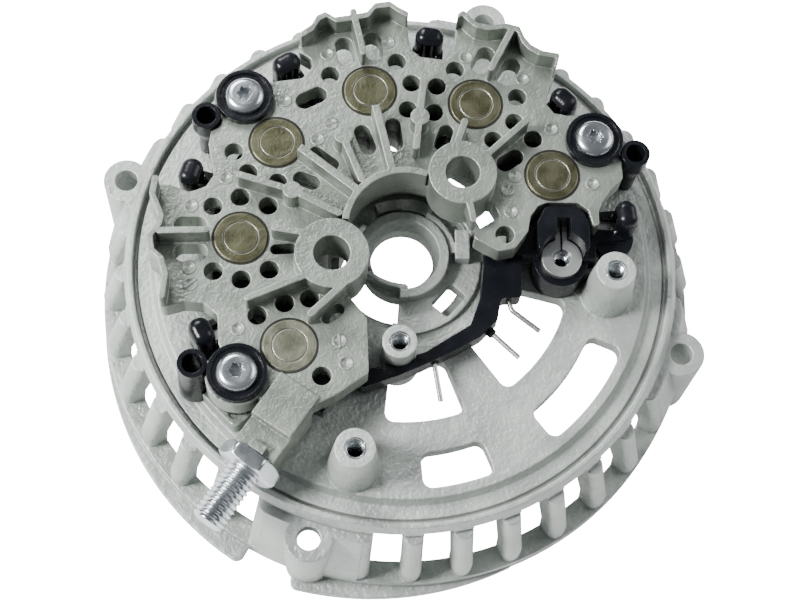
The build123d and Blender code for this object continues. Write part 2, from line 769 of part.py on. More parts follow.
# Upper heat sink: one casting with the positive diodes, fins, lugs and the output block
stud_out = polar(1, stud_angle)
stud_side = polar(1, stud_angle + 90)
stud_plane = Plane(
    origin=(stud_offset * stud_side[0], stud_offset * stud_side[1], stud_level),
    x_dir=(stud_side[0], stud_side[1], 0), z_dir=(stud_out[0], stud_out[1], 0),
)
with BuildPart() as positive_heat_sink:
    with BuildSketch(Plane.XY.offset(carrier_top)):
        soft_outline(
            right_edge + third_notch + right_wall + second_notch + top_wall + first_notch + fourth_notch
            + left_wall + lower_edge + tail_edge + inner_edge + nose_edge, outline_corner,
        )
        with Locations(*screw_points):
            Circle(screw_lobe)
        Circle(arc_inner, mode=Mode.SUBTRACT)
        with Locations(*sleeve_places):
            Circle(sleeve_radius + sleeve_clearance, mode=Mode.SUBTRACT)
    extrude(amount=upper_sink_thickness)
    with BuildSketch(Plane.XY.offset(carrier_top)):
        sector(arc_inner, arc_outer, arc_first, arc_last)
        for x, y, radius, hole in lugs:
            with Locations((x, y)):
                Circle(radius)
    extrude(amount=fin_top - carrier_top)
    with BuildSketch(Plane.XY.offset(upper_sink_top)):
        for start, end, width in ribs:
            bar(start, end, width)
        for x, y, radius in rib_pads:
            with Locations((x, y)):
                Circle(radius)
        for angle, reach in fin_rib_end.items():
            bar(polar(fin_rib_start, angle), polar(reach, angle), fin_rib_width)
        for wall in (right_wall, top_wall, left_wall):
            soft_outline(inward(wall, wall_inset) + inward(wall, wall_inset + wall_thickness)[::-1], wall_corner)
        with Locations(*positive_points):
            Circle(diode_radius + 2 * slack, mode=Mode.SUBTRACT)
    extrude(amount=fin_height)
    with BuildSketch(stud_plane.offset(block_start)):
        with Locations((0, (upper_sink_top + block_rise + carrier_top) / 2 - stud_level)):
            Rectangle(2 * block_half, upper_sink_top + block_rise - carrier_top)
    extrude(amount=block_step - block_start)
    with BuildSketch(stud_plane.offset(block_root)):
        with Locations((0, (upper_sink_top + block_bottom) / 2 - stud_level)):
            Rectangle(2 * block_half, upper_sink_top - block_bottom)
    extrude(amount=block_step - block_root)
    with BuildSketch(stud_plane.offset(block_step)):
        with Locations((0, (upper_sink_top - block_step_drop + block_bottom) / 2 - stud_level)):
            Rectangle(2 * block_half, upper_sink_top - block_step_drop - block_bottom)
    extrude(amount=block_end - block_step)
    with BuildSketch(stud_plane.offset(nub[0] - nub_length / 2)):
        with Locations((nub[1], upper_sink_top - block_step_drop - stud_level)):
            Rectangle(nub_width, 2 * nub_height)
    extrude(amount=nub_length)
    with BuildSketch(Plane.XY.offset(upper_sink_top)):
        for angle, turns in vent_turns.items():
            centre = polar(diode_circle, angle)
            with Locations(*[(centre[0] + polar(vent_circle, angle + turn)[0],
                              centre[1] + polar(vent_circle, angle + turn)[1]) for turn in turns]):
                Circle(vent_radius)
        with Locations(*lone_vents):
            Circle(vent_radius)
        for slot in air_slots:
            long_hole(slot, mode=Mode.ADD)
        for angle in fin_rib_end:
            for side in (-1, 1):
                turn = angle + side * degrees(asin(fin_slot_offset / fin_slot_circle))
                long_hole((*polar(fin_slot_circle, turn), fin_slot_length, fin_slot_width, angle), mode=Mode.ADD)
        with Locations(*positive_points):
            Circle(diode_radius + diode_fit)
        with Locations(*screw_points):
            Circle(bush_sleeve + slack)
    extrude(amount=-upper_sink_thickness, mode=Mode.SUBTRACT)
    for angle in clip_angles:
        with BuildSketch(clip_plane(angle, carrier_top)):
            RectangleRounded(hood_depth + 2 * clip_clearance, hood_width + 2 * clip_clearance, hood_corner)
        extrude(amount=fin_top - carrier_top, mode=Mode.SUBTRACT)
    for x, y, radius, hole in lugs:
        with Locations((x, y, fin_top)):
            Hole(hole, depth=fin_top - carrier_top)
    with BuildSketch(stud_plane.offset(block_end)):
        Circle(stud_radius)
    extrude(amount=block_step - block_end, mode=Mode.SUBTRACT)
positive_heat_sink.part.label = "positive_heat_sink"
export_step(positive_heat_sink.part, "parts/positive_heat_sink.step")


def diode(centre, base, height, side):
    """Press-fit diode: flat base at one end, resin dome and lead at the other."""
    x, y = centre
    far = base - side * height
    with BuildPart() as body:
        with BuildSketch(Plane((x, y, base), z_dir=(0, 0, -side))):
            Circle(diode_radius)
        extrude(amount=height)
        chamfer(body.edges().filter_by(GeomType.CIRCLE), diode_chamfer)
        with BuildSketch(Plane((x, y, base), z_dir=(0, 0, -side))):
            Circle(diode_ring)
            Circle(diode_ring - diode_ring_width, mode=Mode.SUBTRACT)
        extrude(amount=diode_ring_width, mode=Mode.SUBTRACT)
        with BuildSketch(Plane((x, y, far), z_dir=(0, 0, -side))):
            Circle(resin_radius)
        extrude(amount=resin_height, taper=resin_taper)
        with BuildSketch(Plane((x, y, far), z_dir=(0, 0, -side))):
            Circle(lead_radius)
        extrude(amount=lead_length)
    return body.part


# Positive diodes, flat base up and lead down into the carrier
for index, centre in enumerate(positive_points, 1):
    positive_diode = diode(centre, upper_sink_top + diode_stand, upper_sink_thickness + diode_stand, 1)
    positive_diode.label = f"positive_diode_{index}"
    export_step(positive_diode, f"parts/positive_diode_{index}.step")

# Negative diodes, flat base on the end plate and lead up into the carrier
for index, centre in enumerate(negative_points, 1):
    negative_diode = diode(centre, plate_top, lower_sink_thickness, -1)
    negative_diode.label = f"negative_diode_{index}"
    export_step(negative_diode, f"parts/negative_diode_{index}.step")

# Stator terminals: a strip in the carrier that turns up into two blades in the niche of a hood
for index, (clip, minus, plus) in enumerate(phases, 1):
    with BuildPart() as stator_terminal:
        with BuildSketch(Plane.XY.offset(strip_bottom)):
            strip(clip, minus, plus, strip_width)
            with Locations(polar(diode_circle, minus), polar(diode_circle, plus)):
                Circle(lead_radius + slack, mode=Mode.SUBTRACT)
        extrude(amount=strip_thickness)
        with BuildSketch(clip_plane(clip, strip_bottom)):
            with Locations(*[((blade_inner + blade_outer) / 2, side * blade_offset) for side in (-1, 1)]):
                Rectangle(blade_outer - blade_inner, blade_thickness)
        extrude(amount=hood_top - hood_roof - blade_drop - strip_bottom)
    stator_terminal.part.label = f"stator_terminal_{index}"
    export_step(stator_terminal.part, f"parts/stator_terminal_{index}.step")

# Insulating bushes: a sleeve through the upper heat sink under a round cup
for index, (x, y) in enumerate(screw_points, 1):
    with BuildPart() as insulating_bush:
        with BuildSketch(Plane.XY.offset(lower_sink_top)):
            with Locations((x, y)):
                Circle(bush_sleeve)
        extrude(amount=upper_sink_top - lower_sink_top)
        with BuildSketch(Plane.XY.offset(upper_sink_top)):
            with Locations((x, y)):
                Circle(cup_radius)
        extrude(amount=cup_height)
        with BuildSketch(Plane.XY.offset(upper_sink_top + cup_height)):
            with Locations((x, y)):
                Circle(cup_radius - cup_wall)
        extrude(amount=cup_step - cup_height, mode=Mode.SUBTRACT)
        with BuildSketch(Plane.XY.offset(upper_sink_top + cup_step)):
            with Locations((x, y)):
                Circle(screw_head_radius + slack)
        extrude(amount=cup_floor - cup_step, mode=Mode.SUBTRACT)
        with Locations((x, y, upper_sink_top + cup_height)):
            Hole(bush_bore, depth=upper_sink_top + cup_height - lower_sink_top)
    insulating_bush.part.label = f"insulating_bush_{index}"
    export_step(insulating_bush.part, f"parts/insulating_bush_{index}.step")

# Three equal fixing screws with domed heads
with BuildPart() as fixing_screws:
    with BuildSketch(Plane.XY.offset(upper_sink_top + cup_floor)):
        with Locations(*screw_points):
            Circle(screw_head_radius)
    extrude(amount=screw_head_height)
    head_rims = fixing_screws.edges().filter_by(GeomType.CIRCLE).group_by(Axis.Z)[-1]
    fillet(head_rims, screw_head_dome)
    with BuildSketch(Plane.XY.offset(upper_sink_top + cup_floor)):
        with Locations(*screw_points):
            Circle(screw_radius)
    extrude(amount=-(upper_sink_top + cup_floor - plate_bottom + screw_boss_depth))
    with BuildSketch(Plane.XY.offset(upper_sink_top + cup_floor + screw_head_height)):
        with Locations(*screw_points):
            Circle(socket_radius)
        for place in screw_points:
            with Locations(*[beside(place, socket_lobe_circle, turn) for turn in range(0, 360, 360 // socket_lobes)]):
                Circle(socket_lobe)
    extrude(amount=-socket_depth, mode=Mode.SUBTRACT)
fixing_screws.part.label = "fixing_screws"
export_step(fixing_screws.part, "parts/fixing_screws.step")

# Ring terminal on the block, with two bars that run back into the moulding
with BuildPart() as ring_terminal:
    with BuildSketch(Plane.XY.offset(plate_top + ring_level)):
        with Locations(ring_place):
            Circle(ring_radius)
        with Locations((ring_place[0], (ring_place[1] + ring_end) / 2)):
            Rectangle(ring_tail, ring_end - ring_place[1])
            Rectangle(ring_slit, ring_end - ring_place[1], mode=Mode.SUBTRACT)
        with Locations(ring_place):
            Circle(ring_hole, mode=Mode.SUBTRACT)
    extrude(amount=ring_thickness)
ring_terminal.part.label = "ring_terminal"
export_step(ring_terminal.part, "parts/ring_terminal.step")

# Threaded insert under the ring terminal
with BuildPart() as threaded_insert:
    with BuildSketch(Plane.XY.offset(plate_top + ring_level - insert_depth)):
        with Locations(ring_place):
            Circle(insert_radius)
            Circle(insert_bore, mode=Mode.SUBTRACT)
    extrude(amount=insert_depth)
threaded_insert.part.label = "threaded_insert"
export_step(threaded_insert.part, "parts/threaded_insert.step")

# Output stud with its hexagon collar
with BuildPart() as output_stud:
    with BuildSketch(stud_plane.offset(block_step)):
        Circle(stud_radius - diode_fit)
    extrude(amount=stud_reach - block_step)
    with BuildSketch(stud_plane.offset(block_end)):
        RegularPolygon(nut_width / 2, 6, major_radius=False)
    extrude(amount=nut_thickness)
    chamfer(output_stud.faces().sort_by(Axis(stud_plane.origin, stud_plane.z_dir))[-1].edges(), stud_chamfer)
output_stud.part.label = "output_stud"
export_step(output_stud.part, "parts/output_stud.step")

# Signal pins that stand out of the arm
for index, path in enumerate(pin_paths, 1):
    height = arm_bottom + pin_level
    points = [(x, y, height) for x, y in path]
    start = Vector(*points[0])
    heading = Vector(*points[1]) - start
    with BuildPart() as signal_pin:
        with BuildLine() as run:
            if len(points) == 2:
                Line(*points)
            else:
                FilletPolyline(*points, radius=pin_bend)
        with BuildSketch(Plane(origin=start, z_dir=heading)):
            Circle(pin_radius)
        sweep()
    signal_pin.part.label = f"signal_pin_{index}"
    export_step(signal_pin.part, f"parts/signal_pin_{index}.step")
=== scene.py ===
"""Alternator rear bracket with its rectifier: finishes, fine pieces, floor, lights and camera."""

import logging
import math
from dataclasses import dataclass, replace
from enum import Enum

import bmesh
import bpy
import numpy as np
from mathutils import Matrix, Vector


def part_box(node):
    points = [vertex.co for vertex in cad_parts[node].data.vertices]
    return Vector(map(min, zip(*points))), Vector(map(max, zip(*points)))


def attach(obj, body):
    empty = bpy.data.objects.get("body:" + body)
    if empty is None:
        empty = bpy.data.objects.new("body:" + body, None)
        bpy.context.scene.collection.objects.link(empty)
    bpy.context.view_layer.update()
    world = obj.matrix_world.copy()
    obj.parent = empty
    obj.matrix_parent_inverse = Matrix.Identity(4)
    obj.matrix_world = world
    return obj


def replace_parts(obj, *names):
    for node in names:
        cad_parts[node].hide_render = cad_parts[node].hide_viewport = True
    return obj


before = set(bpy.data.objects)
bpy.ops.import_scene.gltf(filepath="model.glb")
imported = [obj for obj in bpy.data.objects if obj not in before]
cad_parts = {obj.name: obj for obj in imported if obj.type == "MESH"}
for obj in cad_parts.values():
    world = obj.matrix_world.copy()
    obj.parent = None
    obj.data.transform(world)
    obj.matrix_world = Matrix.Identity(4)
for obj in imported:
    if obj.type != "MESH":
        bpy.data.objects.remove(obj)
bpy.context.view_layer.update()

LOG = logging.getLogger("bracket")
MM = 0.001
UP = np.array([0.0, 0.0, 1.0])
FULL_TURN = 2.0 * np.pi
MERGE_WITHIN = 1e-7
FLAT_WITHIN = 1e-8

Tree = bpy.types.NodeTree
Port = bpy.types.NodeSocket
Triple = tuple[float, float, float]
Section = tuple[tuple[float, float], ...]


class Slot(Enum):
    """Material slots of the record."""

    CAST = "cast_aluminium"
    MOULDED = "black_moulding"
    DIODE = "diode_plating"
    ZINC = "zinc_steel"
    TINNED = "tinned_wire"


def socket(group: Tree, name: str, kind: str, way: str) -> None:
    """Adds a named socket to a shader node group.

    Args:
        group: The node group.
        name: The socket's name.
        kind: Float or Vector, as in the NodeSocket types.
        way: INPUT or OUTPUT.
    """
    group.interface.new_socket(name=name, in_out=way, socket_type=f"NodeSocket{kind}")


def math_node(tree: Tree, operation: str, first: Port | float, second: Port | float) -> Port:
    """Places a Math node.

    Args:
        tree: The node tree.
        operation: Its operation.
        first: A socket or a number.
        second: A socket or a number.

    Returns:
        The node's output.
    """
    node = tree.nodes.new("ShaderNodeMath")
    node.operation = operation
    for port, source in zip(node.inputs, (first, second)):
        if isinstance(source, Port):
            tree.links.new(source, port)
        else:
            port.default_value = source
    return node.outputs[0]


def blend_node(tree: Tree, factor: Port, first: Port | Triple, second: Triple) -> Port:
    """Places a colour Mix node.

    Args:
        tree: The node tree.
        factor: The mask.
        first: The colour where the mask is 0, a socket or a colour.
        second: The colour where the mask is 1.

    Returns:
        The node's colour output.
    """
    node = tree.nodes.new("ShaderNodeMix")
    node.data_type = "RGBA"
    ports = {p.identifier: p for p in node.inputs}
    tree.links.new(factor, ports["Factor_Float"])
    if isinstance(first, Port):
        tree.links.new(first, ports["A_Color"])
    else:
        ports["A_Color"].default_value = (*first, 1.0)
    ports["B_Color"].default_value = (*second, 1.0)
    return next(p for p in node.outputs if p.identifier == "Result_Color")


def spread_node(tree: Tree, source: Port, low: float, high: float) -> Port:
    """Places a smooth Map Range node that takes low..high to 0..1.

    Args:
        tree: The node tree.
        source: The value.
        low: What becomes 0.
        high: What becomes 1.

    Returns:
        The node's output.
    """
    node = tree.nodes.new("ShaderNodeMapRange")
    node.interpolation_type = "SMOOTHSTEP"
    tree.links.new(source, node.inputs["Value"])
    node.inputs["From Min"].default_value = low
    node.inputs["From Max"].default_value = high
    return node.outputs["Result"]


class Effects:
    """Shader node groups that several finishes share."""

    # Share of the scale, and detail, of the noise of the fine pits, of the swell and of the tone
    noises = ((1.0, 3.0), (0.35, 2.0), (0.07, 3.0))
    swell_weight = 1.4
    tone_range = (0.3, 0.7)
    rubbed_range = (0.01, 0.25)
    # Range of cover over which the corners take their painted shade
    covered_range = (0.15, 0.95)
    ray_samples = 6

    def __init__(self) -> None:
        """Builds the groups."""
        self.grain = self._grain()
        self.edges = self._edges()
        self.corner_shading = self._corner_shading()

    @staticmethod
    def _new(name: str) -> tuple[Tree, bpy.types.Node, bpy.types.Node]:
        """Starts a group.

        Args:
            name: The group's name.

        Returns:
            The group, its input node and its output node.
        """
        tree = bpy.data.node_groups.new(name, "ShaderNodeTree")
        return tree, tree.nodes.new("NodeGroupInput"), tree.nodes.new("NodeGroupOutput")

    @classmethod
    def _grain(cls) -> Tree:
        """Skin of a casting or moulding: fine pits on a coarser swell, and a slow change of tone.

        Returns:
            The group, with Scale in, and Height and Tone out.
        """
        tree, entry, leave = cls._new("casting grain")
        socket(tree, "Scale", "Float", "INPUT")
        socket(tree, "Height", "Float", "OUTPUT")
        socket(tree, "Tone", "Float", "OUTPUT")
        place = tree.nodes.new("ShaderNodeTexCoord").outputs["Object"]
        fine, swell, tone = (tree.nodes.new("ShaderNodeTexNoise") for _ in cls.noises)
        for node, (share, detail) in zip((fine, swell, tone), cls.noises):
            tree.links.new(place, node.inputs["Vector"])
            tree.links.new(math_node(tree, "MULTIPLY", entry.outputs["Scale"], share), node.inputs["Scale"])
            node.inputs["Detail"].default_value = detail
        coarse = math_node(tree, "MULTIPLY", swell.outputs["Fac"], cls.swell_weight)
        tree.links.new(math_node(tree, "ADD", fine.outputs["Fac"], coarse), leave.inputs["Height"])
        tree.links.new(spread_node(tree, tone.outputs["Fac"], *cls.tone_range), leave.inputs["Tone"])
        return tree

    @classmethod
    def _edges(cls) -> Tree:
        """Rubbed outer edges: where the rounded normal leaves the face's own.

        Returns:
            The group, with Radius in, and Mask and Normal out.
        """
        tree, entry, leave = cls._new("edge wear")
        socket(tree, "Radius", "Float", "INPUT")
        socket(tree, "Mask", "Float", "OUTPUT")
        socket(tree, "Normal", "Vector", "OUTPUT")
        bevel = tree.nodes.new("ShaderNodeBevel")
        bevel.samples = cls.ray_samples
        tree.links.new(entry.outputs["Radius"], bevel.inputs["Radius"])
        compare = tree.nodes.new("ShaderNodeVectorMath")
        compare.operation = "DOT_PRODUCT"
        tree.links.new(bevel.outputs["Normal"], compare.inputs[0])
        tree.links.new(tree.nodes.new("ShaderNodeNewGeometry").outputs["Normal"], compare.inputs[1])
        turned = math_node(tree, "SUBTRACT", 1.0, compare.outputs["Value"])
        tree.links.new(spread_node(tree, turned, *cls.rubbed_range), leave.inputs["Mask"])
        tree.links.new(bevel.outputs["Normal"], leave.inputs["Normal"])
        return tree

    @classmethod
    def _corner_shading(cls) -> Tree:
        """Painted shade of corners: how far the surroundings cover a point within Reach.

        Returns:
            The group, with Reach in, and Mask out.
        """
        tree, entry, leave = cls._new("painted corner shade")
        socket(tree, "Reach", "Float", "INPUT")
        socket(tree, "Mask", "Float", "OUTPUT")
        cover = tree.nodes.new("ShaderNodeAmbientOcclusion")
        cover.samples = cls.ray_samples
        tree.links.new(entry.outputs["Reach"], cover.inputs["Distance"])
        hidden = math_node(tree, "SUBTRACT", 1.0, cover.outputs["AO"])
        tree.links.new(spread_node(tree, hidden, *cls.covered_range), leave.inputs["Mask"])
        return tree


@dataclass(frozen=True)
class Finish:
    """A surface finish made of one Principled BSDF fed by the shared effects.

    The base colour drifts between colour and tone, goes over to worn on rubbed edges by the share wear, and
    to a painted shade colour in corners by that shade's share. The roughness drifts between its two values
    with the tone.
    """

    title: str
    slot: Slot
    colour: Triple
    tone: Triple
    worn: Triple
    # Colour of the painted shade in corners
    shade_colour: Triple
    roughness: tuple[float, float]
    metallic: float
    grain_scale: float
    grain_depth: float
    edge_radius: float
    wear: float
    # Share of the painted shade in corners
    grime: float
    reach: float = 0.003
    gloss: float = 0.5

    def material(self, effects: Effects) -> bpy.types.Material:
        """Makes the material.

        Args:
            effects: The shared node groups.

        Returns:
            The new material.
        """
        made = bpy.data.materials.new(self.title)
        made.use_nodes = True
        tree = made.node_tree
        shader = tree.nodes["Principled BSDF"]
        grain = self._group(tree, effects.grain, "Scale", self.grain_scale)
        edges = self._group(tree, effects.edges, "Radius", self.edge_radius)
        corner_shading = self._group(tree, effects.corner_shading, "Reach", self.reach)
        base = blend_node(tree, grain.outputs["Tone"], self.colour, self.tone)
        rubbed = math_node(tree, "MULTIPLY", edges.outputs["Mask"], self.wear)
        # Painted shade: corners darken by how far the surroundings cover them
        shade_mask = math_node(tree, "MULTIPLY", corner_shading.outputs["Mask"], self.grime)
        base = blend_node(tree, rubbed, base, self.worn)
        base = blend_node(tree, shade_mask, base, self.shade_colour)
        tree.links.new(base, shader.inputs["Base Color"])
        span = self.roughness[1] - self.roughness[0]
        rough = math_node(tree, "MULTIPLY", grain.outputs["Tone"], span)
        tree.links.new(math_node(tree, "ADD", rough, self.roughness[0]), shader.inputs["Roughness"])
        shader.inputs["Metallic"].default_value = self.metallic
        shader.inputs["Specular IOR Level"].default_value = self.gloss
        bump = tree.nodes.new("ShaderNodeBump")
        bump.inputs["Distance"].default_value = self.grain_depth
        tree.links.new(grain.outputs["Height"], bump.inputs["Height"])
        tree.links.new(edges.outputs["Normal"], bump.inputs["Normal"])
        tree.links.new(bump.outputs["Normal"], shader.inputs["Normal"])
        return made

    @staticmethod
    def _group(tree: Tree, group: Tree, name: str, value: float) -> bpy.types.Node:
        """Places a shared group with one input set.

        Args:
            tree: The material's node tree.
            group: The shared group.
            name: The input's name.
            value: The input's value.

        Returns:
            The placed node.
        """
        node = tree.nodes.new("ShaderNodeGroup")
        node.node_tree = group
        node.inputs[name].default_value = value
        return node


CAST_ALUMINIUM = Finish(
    title="cast aluminium",
    slot=Slot.CAST,
    colour=(0.27, 0.30, 0.265),
    tone=(0.34, 0.376, 0.33),
    worn=(0.74, 0.77, 0.73),
    shade_colour=(0.05, 0.055, 0.05),
    roughness=(0.36, 0.48),
    metallic=0.65,
    grain_scale=1600.0,
    grain_depth=0.00013,
    edge_radius=0.0005,
    wear=0.6,
    grime=0.7,
)
SAND_CAST = Finish(
    title="blasted cast aluminium",
    slot=Slot.CAST,
    colour=(0.43, 0.465, 0.435),
    tone=(0.55, 0.59, 0.555),
    worn=(0.82, 0.84, 0.83),
    shade_colour=(0.11, 0.115, 0.115),
    roughness=(0.42, 0.56),
    metallic=0.5,
    grain_scale=1100.0,
    grain_depth=0.00024,
    edge_radius=0.0006,
    wear=0.6,
    grime=0.55,
    reach=0.004,
)
BLACK_MOULDING = Finish(
    title="black moulding",
    slot=Slot.MOULDED,
    colour=(0.004, 0.005, 0.007),
    tone=(0.007, 0.008, 0.011),
    worn=(0.03, 0.033, 0.04),
    shade_colour=(0.002, 0.002, 0.003),
    roughness=(0.20, 0.30),
    metallic=0.0,
    grain_scale=2500.0,
    grain_depth=0.00003,
    edge_radius=0.0003,
    wear=0.15,
    grime=0.4,
    gloss=0.3,
)
DIODE_PLATING = Finish(
    title="diode plating",
    slot=Slot.DIODE,
    colour=(0.085, 0.085, 0.045),
    tone=(0.13, 0.13, 0.08),
    worn=(0.80, 0.81, 0.74),
    shade_colour=(0.03, 0.03, 0.02),
    roughness=(0.30, 0.42),
    metallic=0.8,
    grain_scale=3500.0,
    grain_depth=0.00005,
    edge_radius=0.0004,
    wear=0.8,
    grime=0.3,
)
PALE_PLATING = replace(
    DIODE_PLATING,
    title="pale diode plating",
    colour=(0.20, 0.205, 0.15),
    tone=(0.27, 0.275, 0.21),
)
# Near-black finish that paints the shade of the gap round each diode
GAP_SHADOW = Finish(
    title="painted gap shade",
    slot=Slot.CAST,
    colour=(0.008, 0.008, 0.008),
    tone=(0.014, 0.014, 0.013),
    worn=(0.03, 0.03, 0.03),
    shade_colour=(0.004, 0.004, 0.004),
    roughness=(0.6, 0.8),
    metallic=0.0,
    grain_scale=3000.0,
    grain_depth=0.00002,
    edge_radius=0.00005,
    wear=0.1,
    grime=0.2,
)
ZINC_STEEL = Finish(
    title="zinc plated steel",
    slot=Slot.ZINC,
    colour=(0.62, 0.66, 0.69),
    tone=(0.70, 0.74, 0.76),
    worn=(0.90, 0.92, 0.93),
    shade_colour=(0.20, 0.22, 0.24),
    roughness=(0.20, 0.32),
    metallic=1.0,
    grain_scale=2500.0,
    grain_depth=0.00002,
    edge_radius=0.0002,
    wear=0.4,
    grime=0.5,
)
TINNED_WIRE = Finish(
    title="tinned copper",
    slot=Slot.TINNED,
    colour=(0.52, 0.53, 0.53),
    tone=(0.60, 0.61, 0.60),
    worn=(0.85, 0.86, 0.86),
    shade_colour=(0.15, 0.15, 0.15),
    roughness=(0.25, 0.38),
    metallic=0.9,
    grain_scale=2000.0,
    grain_depth=0.00003,
    edge_radius=0.0002,
    wear=0.4,
    grime=0.5,
)


@dataclass(frozen=True)
class Shell:
    """One closed surface: its points in millimetres and its quads."""

    points: np.ndarray
    faces: np.ndarray

    @classmethod
    def grid(cls, points: np.ndarray, ring: bool = False) -> "Shell":
        """Makes a surface from a grid of points.

        Quad (i, j) joins rows i and i + 1 and columns j and j + 1. Columns count modulo their number, and
        rows too if ring is set.

        Args:
            points: Points by row, column and coordinate.
            ring: Whether the last row joins the first.

        Returns:
            The surface.
        """
        rows, columns = points.shape[:2]
        i, j = np.meshgrid(np.arange(rows if ring else rows - 1), np.arange(columns), indexing="ij")
        near, far, beside = i * columns, (i + 1) % rows * columns, (j + 1) % columns
        faces = np.stack([near + j, near + beside, far + beside, far + j], axis=-1).reshape(-1, 4)
        return cls(points.reshape(-1, 3), faces)

    @classmethod
    def capped(cls, x: np.ndarray, y: np.ndarray, level: np.ndarray) -> "Shell":
        """Joins level rings of points and closes them by a pole on the Z axis at each end.

        Args:
            x: X by ring and step.
            y: Y by ring and step.
            level: Z by ring, which the poles take from the first and the last.

        Returns:
            The surface.
        """
        rings = np.stack([x, y, level[:, None] + 0.0 * x], axis=-1)
        poles = np.zeros((2, 1, x.shape[1], 3)) + level[[0, -1], None, None, None] * UP
        return cls.grid(np.concatenate([poles[0], rings, poles[1]]))

    @classmethod
    def turned(cls, profile: np.ndarray, columns: int, ring: bool = False) -> "Shell":
        """Turns a half section about Z: the point at angle a is (r cos a, r sin a, z).

        Args:
            profile: Rows of r and z.
            columns: Steps round the axis.
            ring: Whether the section is a closed loop that stays off the axis.

        Returns:
            The surface.
        """
        turn = np.linspace(0.0, FULL_TURN, columns, endpoint=False)
        radius, height = profile[:, :1], profile[:, 1:]
        grid = np.stack([radius * np.cos(turn), radius * np.sin(turn), height + 0.0 * turn], axis=-1)
        return cls.grid(grid, ring)

    def moved(self, place: Triple | np.ndarray, basis: np.ndarray | None = None) -> "Shell":
        """Takes the surface to a place: point = place + local point times basis.

        Args:
            place: The new origin.
            basis: The new X, Y and Z directions as rows, or None to keep the turn.

        Returns:
            The moved surface.
        """
        turned = self.points if basis is None else self.points @ basis
        return Shell(turned + np.array(place), self.faces)


def heading(angle: float) -> np.ndarray:
    """Direction of the plan at an angle a in degrees, (cos a, sin a, 0)."""
    return np.array([math.cos(math.radians(angle)), math.sin(math.radians(angle)), 0.0])


def upright(angle: float) -> np.ndarray:
    """Rows of a basis with X along the plan's direction at an angle in degrees and Z up."""
    out = heading(angle)
    return np.array([out, np.cross(UP, out), UP])


def lying(angle: float) -> np.ndarray:
    """Rows of a basis with Z along the plan's direction at an angle in degrees and Y up."""
    out = heading(angle)
    return np.array([np.cross(UP, out), UP, out])


def rounded_bar(length: float, width: float, height: float, corner: float) -> Shell:
    """Bar on z = 0 with rounded upright corners and a rounded top edge.

    Its plan is |x / a|^8 + |y / b|^8 = 1, with a and b the half length and half width. The plan shrinks by
    corner (1 - cos t) while the level rises by corner sin t over the top edge.

    Args:
        length: Size along X.
        width: Size along Y.
        height: Size along Z.
        corner: Radius of the top edge.

    Returns:
        The bar's surface.
    """
    squareness = 8
    turn = np.linspace(0.0, FULL_TURN, 32, endpoint=False)
    rise = np.linspace(0.0, np.pi / 2.0, 5)
    shrink = np.concatenate([[0.0], corner * (1.0 - np.cos(rise))])
    level = np.concatenate([[0.0], height - corner + corner * np.sin(rise)])
    across, along = np.cos(turn), np.sin(turn)
    norm = (np.abs(across) ** squareness + np.abs(along) ** squareness) ** (1.0 / squareness)
    x = (length / 2.0 - shrink)[:, None] * across / norm
    y = (width / 2.0 - shrink)[:, None] * along / norm
    return Shell.capped(x, y, level)


def place_object(name: str, data: bpy.types.ID) -> bpy.types.Object:
    """Puts a new object into the scene.

    Args:
        name: The object's name.
        data: Its mesh, lamp or camera.

    Returns:
        The new object.
    """
    made = bpy.data.objects.new(name, data)
    bpy.context.scene.collection.objects.link(made)
    return made


def piece(
    name: str, shells: list[Shell], material: bpy.types.Material, crease: float = 35.0
) -> bpy.types.Object:
    """Makes one object of closed surfaces, faces outwards, and lets it ride on the part.

    Each surface whose signed volume, the sum of p0 . (p1 x p2 + p2 x p3) / 6 over its quads, is below 0 is
    turned round.

    Args:
        name: The object's name.
        shells: Its surfaces.
        material: Its material.
        crease: Edges sharper than this many degrees stay sharp.

    Returns:
        The new object.
    """
    points, faces, start = [], [], 0
    for shell in shells:
        corner = (shell.points - shell.points.mean(axis=0))[shell.faces]
        wedge = np.cross(corner[:, 1], corner[:, 2]) + np.cross(corner[:, 2], corner[:, 3])
        outwards = (corner[:, 0] * wedge).sum() > 0.0
        points.append(shell.points * MM)
        faces.append((shell.faces if outwards else shell.faces[:, ::-1]) + start)
        start += len(shell.points)
    mesh = bpy.data.meshes.new(name)
    mesh.from_pydata(np.vstack(points), [], np.vstack(faces))
    work = bmesh.new()
    work.from_mesh(mesh)
    bmesh.ops.remove_doubles(work, verts=work.verts, dist=MERGE_WITHIN)
    bmesh.ops.dissolve_degenerate(work, edges=work.edges, dist=FLAT_WITHIN)
    work.to_mesh(mesh)
    work.free()
    mesh.shade_smooth()
    mesh.set_sharp_from_angle(angle=math.radians(crease))
    mesh.materials.append(material)
    made = place_object(name, mesh)
    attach(made, "root")
    LOG.info("piece %s: %d faces", name, len(mesh.polygons))
    return made


